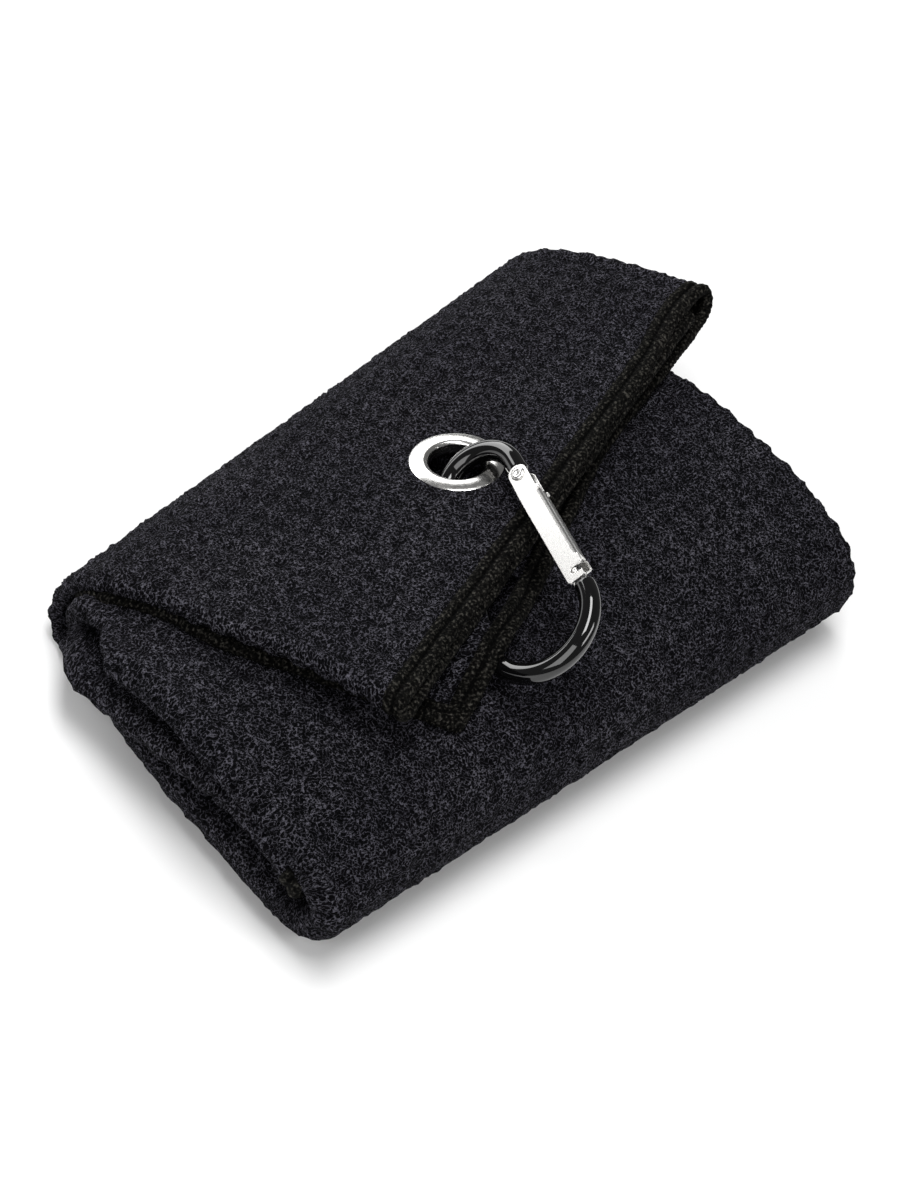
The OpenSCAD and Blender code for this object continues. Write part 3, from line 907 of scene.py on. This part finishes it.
# ---- materials ----
class Nodes:
    """A small helper for building a material's nodes."""

    def __init__(self, name):
        self.material = bpy.data.materials.new(name)
        self.material.use_nodes = True
        self.tree = self.material.node_tree
        self.shader = self.tree.nodes["Principled BSDF"]

    def add(self, kind, **values):
        node = self.tree.nodes.new(kind)
        for key, value in values.items():
            if key in node.inputs:
                node.inputs[key].default_value = value
            else:
                setattr(node, key, value)
        return node

    def link(self, start, end):
        self.tree.links.new(start, end)

    def set(self, **values):
        for key, value in values.items():
            self.shader.inputs[key.replace("_", " ")].default_value = value

    def noise(self, vector, scale, detail=2.0, roughness=0.5):
        node = self.add("ShaderNodeTexNoise", Scale=scale, Detail=detail, Roughness=roughness)
        self.link(vector, node.inputs["Vector"])
        return node.outputs["Fac"]

    def ramp(self, value, stops):
        node = self.add("ShaderNodeValToRGB")
        elements = node.color_ramp.elements
        while len(elements) < len(stops):
            elements.new(0.5)
        for element, (position, colour) in zip(elements, stops):
            element.position = position
            element.color = (*colour, 1) if len(colour) == 3 else colour
        self.link(value, node.inputs["Fac"])
        return node.outputs["Color"]

    def maths(self, operation, a, b=None):
        node = self.add("ShaderNodeMath", operation=operation)
        for socket, value in zip(node.inputs, (a, b)):
            if value is None:
                continue
            if isinstance(value, (int, float)):
                socket.default_value = value
            else:
                self.link(value, socket)
        return node.outputs["Value"]

    def mix(self, factor, a, b, blend="MIX"):
        node = self.add("ShaderNodeMix", data_type="RGBA", blend_type=blend)
        for socket, value in zip((node.inputs[0], node.inputs[6], node.inputs[7]), (factor, a, b)):
            if hasattr(value, "links"):
                self.link(value, socket)
            else:
                socket.default_value = value
        return node.outputs[2]

    def bump(self, height, strength, distance_mm):
        node = self.add("ShaderNodeBump", Strength=strength, Distance=distance_mm * MM)
        self.link(height, node.inputs["Height"])
        self.link(node.outputs["Normal"], self.shader.inputs["Normal"])


def cloth_material():
    """Dark navy microfibre: short curled loops, with shade painted into the waffle's pits so its
    ridges read lighter.
    """
    m = Nodes("waffle_microfibre")
    weave = m.add("ShaderNodeAttribute", attribute_name="weave").outputs["Vector"]
    ridge = m.add("ShaderNodeAttribute", attribute_name="ridge").outputs["Fac"]
    curl = m.noise(weave, 1.05, 1.5, 0.5)
    away = m.maths("ABSOLUTE", m.maths("SUBTRACT", curl, 0.5))
    loops = m.maths("SUBTRACT", 1.0, m.maths("MULTIPLY", away, 11.0))
    loops = m.maths("MAXIMUM", loops, 0.0)
    strands = m.noise(weave, 3.0, 2.0, 0.7)
    patches = m.noise(weave, 0.035, 2.0)
    height = m.maths("ADD", loops, m.maths("MULTIPLY", strands, 0.9))
    grain = m.maths("ADD", m.maths("MULTIPLY", loops, 0.34), m.maths("MULTIPLY", strands, 0.72))
    colour = m.ramp(grain, [(0.3, (0.0002, 0.0002, 0.0003)), (0.48, (0.0052, 0.005, 0.0068)),
                            (0.76, (0.13, 0.126, 0.153))])
    # Painted shade: the waffle's pits are darkened and its ridges lightened, read from the ridge
    # attribute.
    pit_shade = m.ramp(ridge, [(0.0, (0.3, 0.3, 0.31)), (0.7, (1.05, 1.05, 1.05))])
    wear = m.ramp(patches, [(0.3, (0.85, 0.85, 0.87)), (0.7, (1.12, 1.12, 1.1))])
    colour = m.mix(1.0, m.mix(1.0, colour, pit_shade, "MULTIPLY"), wear, "MULTIPLY")
    m.link(colour, m.shader.inputs["Base Color"])
    m.bump(height, 1.0, 0.6)
    m.set(Roughness=0.9, Sheen_Weight=0.008, Sheen_Roughness=0.5,
          Sheen_Tint=(0.7, 0.72, 0.85, 1.0), Specular_IOR_Level=0.04)
    return m.material


def binding_material():
    """Brownish-black overlock thread, with shade painted into its groove and between its stitch
    turns.
    """
    m = Nodes("overlocked_edge")
    weave = m.add("ShaderNodeAttribute", attribute_name="weave").outputs["Vector"]
    place = m.add("ShaderNodeTexCoord").outputs["Object"]
    split = m.add("ShaderNodeSeparateXYZ")
    m.link(weave, split.inputs[0])
    slant = m.maths("ADD", split.outputs[0], m.maths("MULTIPLY", split.outputs[1], STITCH_SLANT))
    thread = m.maths("SINE", m.maths("MULTIPLY", slant, 2 * math.pi / STITCH))
    groove_off = m.maths("ABSOLUTE", m.maths("ADD", split.outputs[1], HEM_GROOVE))
    fuzz = m.noise(place, 1500.0, 2.0)
    height = m.maths("ADD", m.maths("MULTIPLY", thread, 0.25), fuzz)
    colour = m.ramp(fuzz, [(0.36, (0.0003, 0.0003, 0.0002)), (0.52, (0.0042, 0.004, 0.0034)),
                           (0.7, (0.055, 0.052, 0.045))])
    # Painted shade between the stitch turns: the colour darkens where the thread's wave is low.
    turns = m.maths("ADD", m.maths("MULTIPLY", thread, 0.35), 0.5)
    turns = m.ramp(turns, [(0.15, (0.3, 0.3, 0.3)), (0.8, (1.0, 1.0, 1.0))])
    # Painted shade in the hem's groove: a dark band along the groove line.
    groove = m.ramp(groove_off, [(0.25, (0.12, 0.12, 0.12)), (0.75, (1.0, 1.0, 1.0))])
    colour = m.mix(1.0, m.mix(1.0, colour, turns, "MULTIPLY"), groove, "MULTIPLY")
    m.link(colour, m.shader.inputs["Base Color"])
    m.bump(height, 0.9, 0.35)
    m.set(Roughness=0.85, Sheen_Weight=0.008, Sheen_Roughness=0.4, Specular_IOR_Level=0.05)
    return m.material


def metal_material(name, colour, low, high, scale, metallic=1.0, coat=0.0):
    """Metal whose gloss varies in fine streaks."""
    m = Nodes(name)
    place = m.add("ShaderNodeTexCoord").outputs["Object"]
    marks = m.noise(place, scale, 4.0, 0.65)
    rough = m.ramp(marks, [(0.3, (low,) * 3), (0.75, (high,) * 3)])
    tint = m.ramp(marks, [(0.3, colour), (0.8, tuple(0.9 * c for c in colour))])
    m.link(rough, m.shader.inputs["Roughness"])
    m.link(tint, m.shader.inputs["Base Color"])
    m.bump(marks, 0.04, 0.01)
    m.set(Metallic=metallic, Coat_Weight=coat, Coat_Roughness=0.03)
    return m.material


def give(objects, material, body, slot, replaced=()):
    """Material and body for one or several pieces. The slot argument is not used."""
    for made in objects:
        made.data.materials.clear()
        made.data.materials.append(material)
        if body:
            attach(made, body)
    if replaced:
        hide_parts(*replaced)


# ---- the towel ----
flap, bundle, grid = build_cloth()
end_hem, inner_hem, side_flap, side_bundle, mid_flap, mid_bundle = build_hems(grid)
cloth = cloth_material()
binding = binding_material()
give([flap], cloth, None, "cloth", ("flap_outer_layer", "flap_middle_layer", "flap_lower_layer",
                                    "flap_left_fold", "flap_right_loop"))
give([bundle], cloth, "bundle", "cloth", ("top_panel", "front_fold", "bottom_panel", "inner_fold",
                                          "inner_panel", "back_fold"))
give([end_hem], binding, "flap", "binding", ("outer_end_hem", "middle_end_hem", "lower_end_hem"))
give([inner_hem], binding, "bundle", "binding", ("inner_end_hem",))
give([side_flap], binding, None, "binding", ("lower_side_hem",))
give([mid_flap], binding, None, "binding")
give([side_bundle, mid_bundle], binding, "bundle", "binding")


for piece in (flap, side_flap, mid_flap):
    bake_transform(piece)

# ---- eyelet and clip ----
nickel = metal_material("polished_nickel", (0.9, 0.89, 0.87), 0.16, 0.26, 900.0)
enamel = metal_material("black_enamel", (0.002, 0.002, 0.0022), 0.04, 0.08, 300.0, 0.0, 0.6)
satin = metal_material("satin_steel", (0.86, 0.85, 0.83), 0.24, 0.34, 3200.0)
wire = metal_material("spring_steel", (0.45, 0.45, 0.46), 0.2, 0.35, 500.0)

ring, washer = build_eyelet()
give([ring], nickel, "flap", "nickel", ("eyelet",))
give([washer], nickel, "flap", "nickel", ("eyelet_washer",))
give([build_rod()], enamel, "carabiner", "black_enamel", ("carabiner_rod",))
give(build_gate(), satin, "gate", "gate_steel", ("gate_channel",))
rivet, nose_pin = build_pins()
give([rivet], satin, "carabiner", "gate_steel", ("pivot_rivet",))
give([nose_pin], satin, "carabiner", "gate_steel", ("latch_pin",))
give([build_spring()], wire, "gate", "gate_steel", ("gate_spring",))


# ---- floor, light and camera ----
def build_stage():
    mesh = bpy.data.meshes.new("floor")
    r = 4.0
    mesh.from_pydata([(-r, -r, 0), (r, -r, 0), (r, r, 0), (-r, r, 0)], [], [(0, 1, 2, 3)])
    floor = bpy.data.objects.new("floor", mesh)
    bpy.context.scene.collection.objects.link(floor)
    m = Nodes("pale_floor")
    m.set(Base_Color=(0.9, 0.9, 0.9, 1), Roughness=0.9, Specular_IOR_Level=0.1)
    mesh.materials.append(m.material)


def softbox(name, place, aim, size, watts):
    light = bpy.data.lights.new(name, "AREA")
    light.shape = "RECTANGLE"
    light.size, light.size_y = size
    light.energy = watts
    made = bpy.data.objects.new(name, light)
    made.location = place
    made.rotation_euler = (Vector(aim) - Vector(place)).to_track_quat("-Z", "Y").to_euler()
    bpy.context.scene.collection.objects.link(made)


def build_camera():
    data = bpy.data.cameras.new("camera")
    data.lens = 112.0
    data.sensor_width = 36.0
    data.clip_start = 0.05
    camera = bpy.data.objects.new("camera", data)
    right = Vector((0.69546, -0.67445, 0.24789))
    up = Vector((0.40862, 0.65497, 0.63565))
    back = right.cross(up)
    turn = Matrix((right, up, back)).transposed().to_4x4()
    camera.matrix_world = Matrix.Translation(Vector((-0.5117, -0.2921, 0.6493))) @ turn
    bpy.context.scene.collection.objects.link(camera)
    bpy.context.scene.camera = camera


def build_light():
    world = bpy.data.worlds.new("studio")
    world.use_nodes = True
    world.node_tree.nodes["Background"].inputs["Color"].default_value = (1, 1, 1, 1)
    world.node_tree.nodes["Background"].inputs["Strength"].default_value = 0.12
    bpy.context.scene.world = world
    softbox("overhead", (-0.1, 0.1, 1.5), (0, 0, 0.02), (1.1, 0.5), 17)
    softbox("behind", (0.25, 1.15, 0.5), (0, 0, 0.04), (1.3, 0.6), 10)
    softbox("left", (-1.1, -0.2, 0.9), (0, 0, 0.02), (1.2, 0.8), 8)
    softbox("front", (0.3, -1.1, 0.8), (0, 0, 0.02), (0.9, 0.3), 5)


build_stage()
build_light()
build_camera()
bpy.context.scene.view_settings.view_transform = "Standard"
